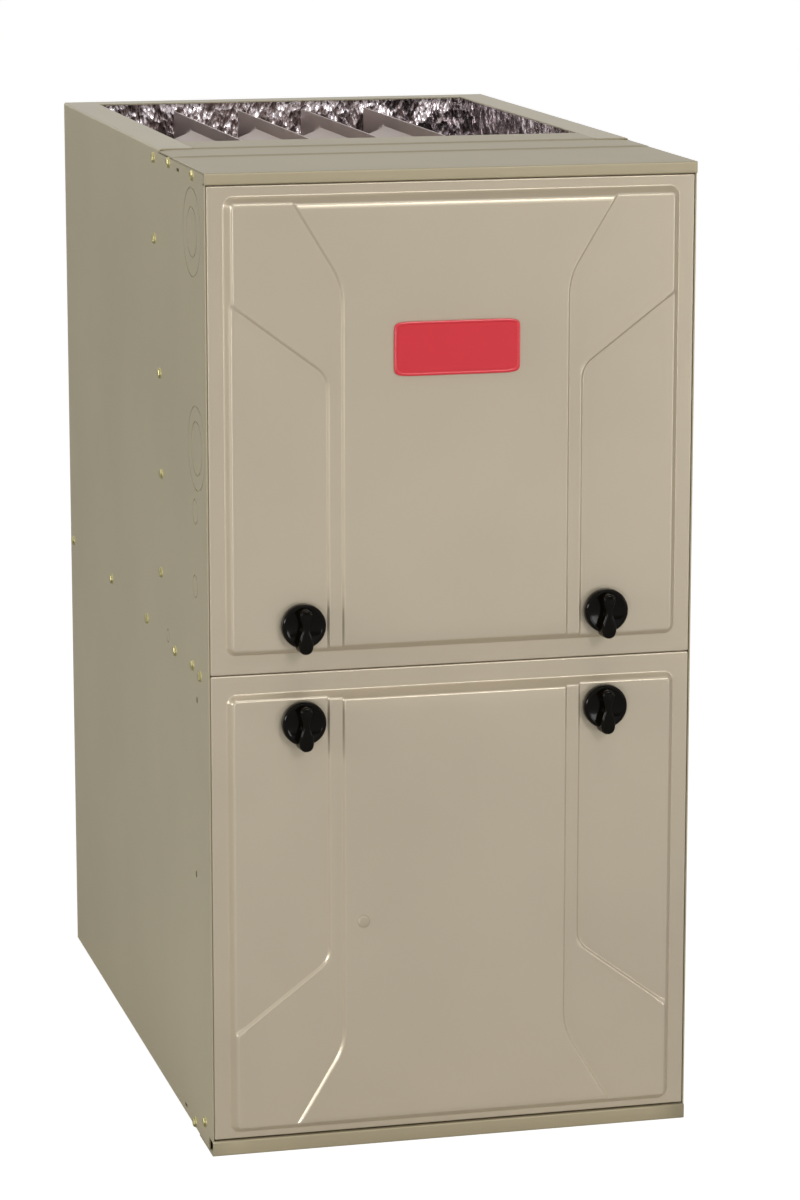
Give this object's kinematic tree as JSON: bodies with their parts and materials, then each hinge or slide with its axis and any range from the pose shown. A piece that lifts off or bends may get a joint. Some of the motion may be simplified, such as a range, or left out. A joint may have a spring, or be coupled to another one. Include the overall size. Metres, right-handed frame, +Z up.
{
  "type": "forced air gas furnace",
  "caption": "Upright sheet-metal furnace cabinet with embossed lift-off doors, quarter-turn knobs and an open top over clamshell heat exchanger cells.",
  "frame": {"origin": "middle of the base, on the floor", "axes": "+Z up, front with the doors towards -Y, +X to the right seen from the front"},
  "size_m": [0.445, 0.748, 0.889],
  "materials": {
    "side_paint": "baked enamel on prepainted sheet, olive beige, satin",
    "cap_paint": "baked enamel, olive beige, satin",
    "door_paint": "baked enamel, warm pewter, semi-gloss",
    "badge_plastic": "moulded, glossy red",
    "sight_plug": "moulded clear plug, slightly milky",
    "knob_plastic": "moulded, glossy black",
    "foil": "crinkled bright foil facing",
    "exchanger_steel": "aluminised steel, dull with a warm heat tint",
    "galvanised_sheet": "galvanised, faint spangle, satin",
    "bare_aluminium": "mill finish",
    "cast_valve": "die cast, matt grey",
    "black_pipe": "black oxide pipe",
    "motor_paint": "black enamel, satin",
    "black_plastic": "moulded, fine grain",
    "black_rubber": "smooth, matt",
    "circuit_board": "green laminate with dark and white parts",
    "white_ceramic": "unglazed, off-white",
    "white_plastic": "moulded, off-white",
    "red_plastic": "moulded, red"
  },
  "bodies": {
    "cabinet": {"casing_wrap": "side_paint", "top_cap": "cap_paint", "bottom_rail": "door_paint", "bottom_panel": "galvanised_sheet", "blower_deck": "galvanised_sheet", "centre_rail": "door_paint", "cell_panel": "galvanised_sheet", "foil_liner_left": "foil", "foil_liner_right": "foil", "foil_liner_back": "foil", "hx_cell_1": "exchanger_steel", "hx_cell_2": "exchanger_steel", "hx_cell_3": "exchanger_steel", "hx_cell_4": "exchanger_steel", "coupling_box": "exchanger_steel", "secondary_coil": "bare_aluminium", "collector_box": "black_plastic", "burner_1": "bare_aluminium", "burner_2": "bare_aluminium", "burner_3": "bare_aluminium", "burner_4": "bare_aluminium", "burner_rack": "galvanised_sheet", "gas_manifold": "black_pipe", "gas_valve": "cast_valve", "igniter": "white_ceramic", "flame_sensor": "white_ceramic", "rollout_switch": "black_plastic", "inducer_housing": "black_plastic", "inducer_motor": "motor_paint", "vent_elbow": "galvanised_sheet", "pressure_switch": "black_plastic", "pressure_hose": "black_rubber", "condensate_trap": "black_plastic", "drain_hose": "black_rubber", "junction_box": "galvanised_sheet", "blower_housing": "galvanised_sheet", "blower_motor": "motor_paint", "motor_mount": "galvanised_sheet", "motor_capacitor": "galvanised_sheet", "control_tray": "galvanised_sheet", "control_board": "circuit_board", "transformer": "motor_paint", "door_switch": "black_plastic"},
    "upper_door": {"upper_door": "door_paint", "badge_plate": "badge_plastic"},
    "lower_door": {"lower_door": "door_paint", "sight_glass": "sight_plug"},
    "upper_left_knob": {"knob_upper_left": "knob_plastic", "latch_cam_upper_left": "galvanised_sheet"},
    "upper_right_knob": {"knob_upper_right": "knob_plastic", "latch_cam_upper_right": "galvanised_sheet"},
    "lower_left_knob": {"knob_lower_left": "knob_plastic", "latch_cam_lower_left": "galvanised_sheet"},
    "lower_right_knob": {"knob_lower_right": "knob_plastic", "latch_cam_lower_right": "galvanised_sheet"},
    "blower_wheel": {"blower_wheel": "galvanised_sheet"},
    "inducer_wheel": {"inducer_wheel": "bare_aluminium"},
    "valve_lever": {"valve_lever": "white_plastic"},
    "reset_button": {"reset_button": "red_plastic"},
    "switch_plunger": {"switch_plunger": "white_plastic"}
  },
  "joints": [
    {"name": "upper_door_off", "type": "slide", "parent": "cabinet", "child": "upper_door", "axis": [0, -1, 0], "range_m": [0, 0.15]},
    {"name": "lower_door_off", "type": "slide", "parent": "cabinet", "child": "lower_door", "axis": [0, -1, 0], "range_m": [0, 0.15]},
    {"name": "upper_left_knob_turn", "type": "hinge", "parent": "upper_door", "child": "upper_left_knob", "pos_m": [-0.139, -0.336, 0.4873], "axis": [0, -1, 0], "range_deg": [0, 90]},
    {"name": "upper_right_knob_turn", "type": "hinge", "parent": "upper_door", "child": "upper_right_knob", "pos_m": [0.139, -0.336, 0.4873], "axis": [0, 1, 0], "range_deg": [0, 90]},
    {"name": "lower_left_knob_turn", "type": "hinge", "parent": "lower_door", "child": "lower_left_knob", "pos_m": [-0.139, -0.336, 0.3993], "axis": [0, 1, 0], "range_deg": [0, 90]},
    {"name": "lower_right_knob_turn", "type": "hinge", "parent": "lower_door", "child": "lower_right_knob", "pos_m": [0.139, -0.336, 0.3993], "axis": [0, -1, 0], "range_deg": [0, 90]},
    {"name": "blower_wheel_spin", "type": "hinge", "parent": "cabinet", "child": "blower_wheel", "pos_m": [0, 0.045, 0.2346], "axis": [1, 0, 0], "continuous": true},
    {"name": "inducer_wheel_spin", "type": "hinge", "parent": "cabinet", "child": "inducer_wheel", "pos_m": [0.04, -0.184, 0.61196], "axis": [0, 1, 0], "continuous": true},
    {"name": "valve_lever_turn", "type": "hinge", "parent": "cabinet", "child": "valve_lever", "pos_m": [0.17, -0.296, 0.84629], "axis": [0, 1, 0], "range_deg": [0, 60]},
    {"name": "reset_button_press", "type": "slide", "parent": "cabinet", "child": "reset_button", "axis": [0, 1, 0], "range_m": [0, 0.002], "stiffness_N_per_m": 200},
    {"name": "switch_plunger_press", "type": "slide", "parent": "cabinet", "child": "switch_plunger", "axis": [0, 1, 0], "range_m": [0, 0.003], "stiffness_N_per_m": 200}
  ]
}
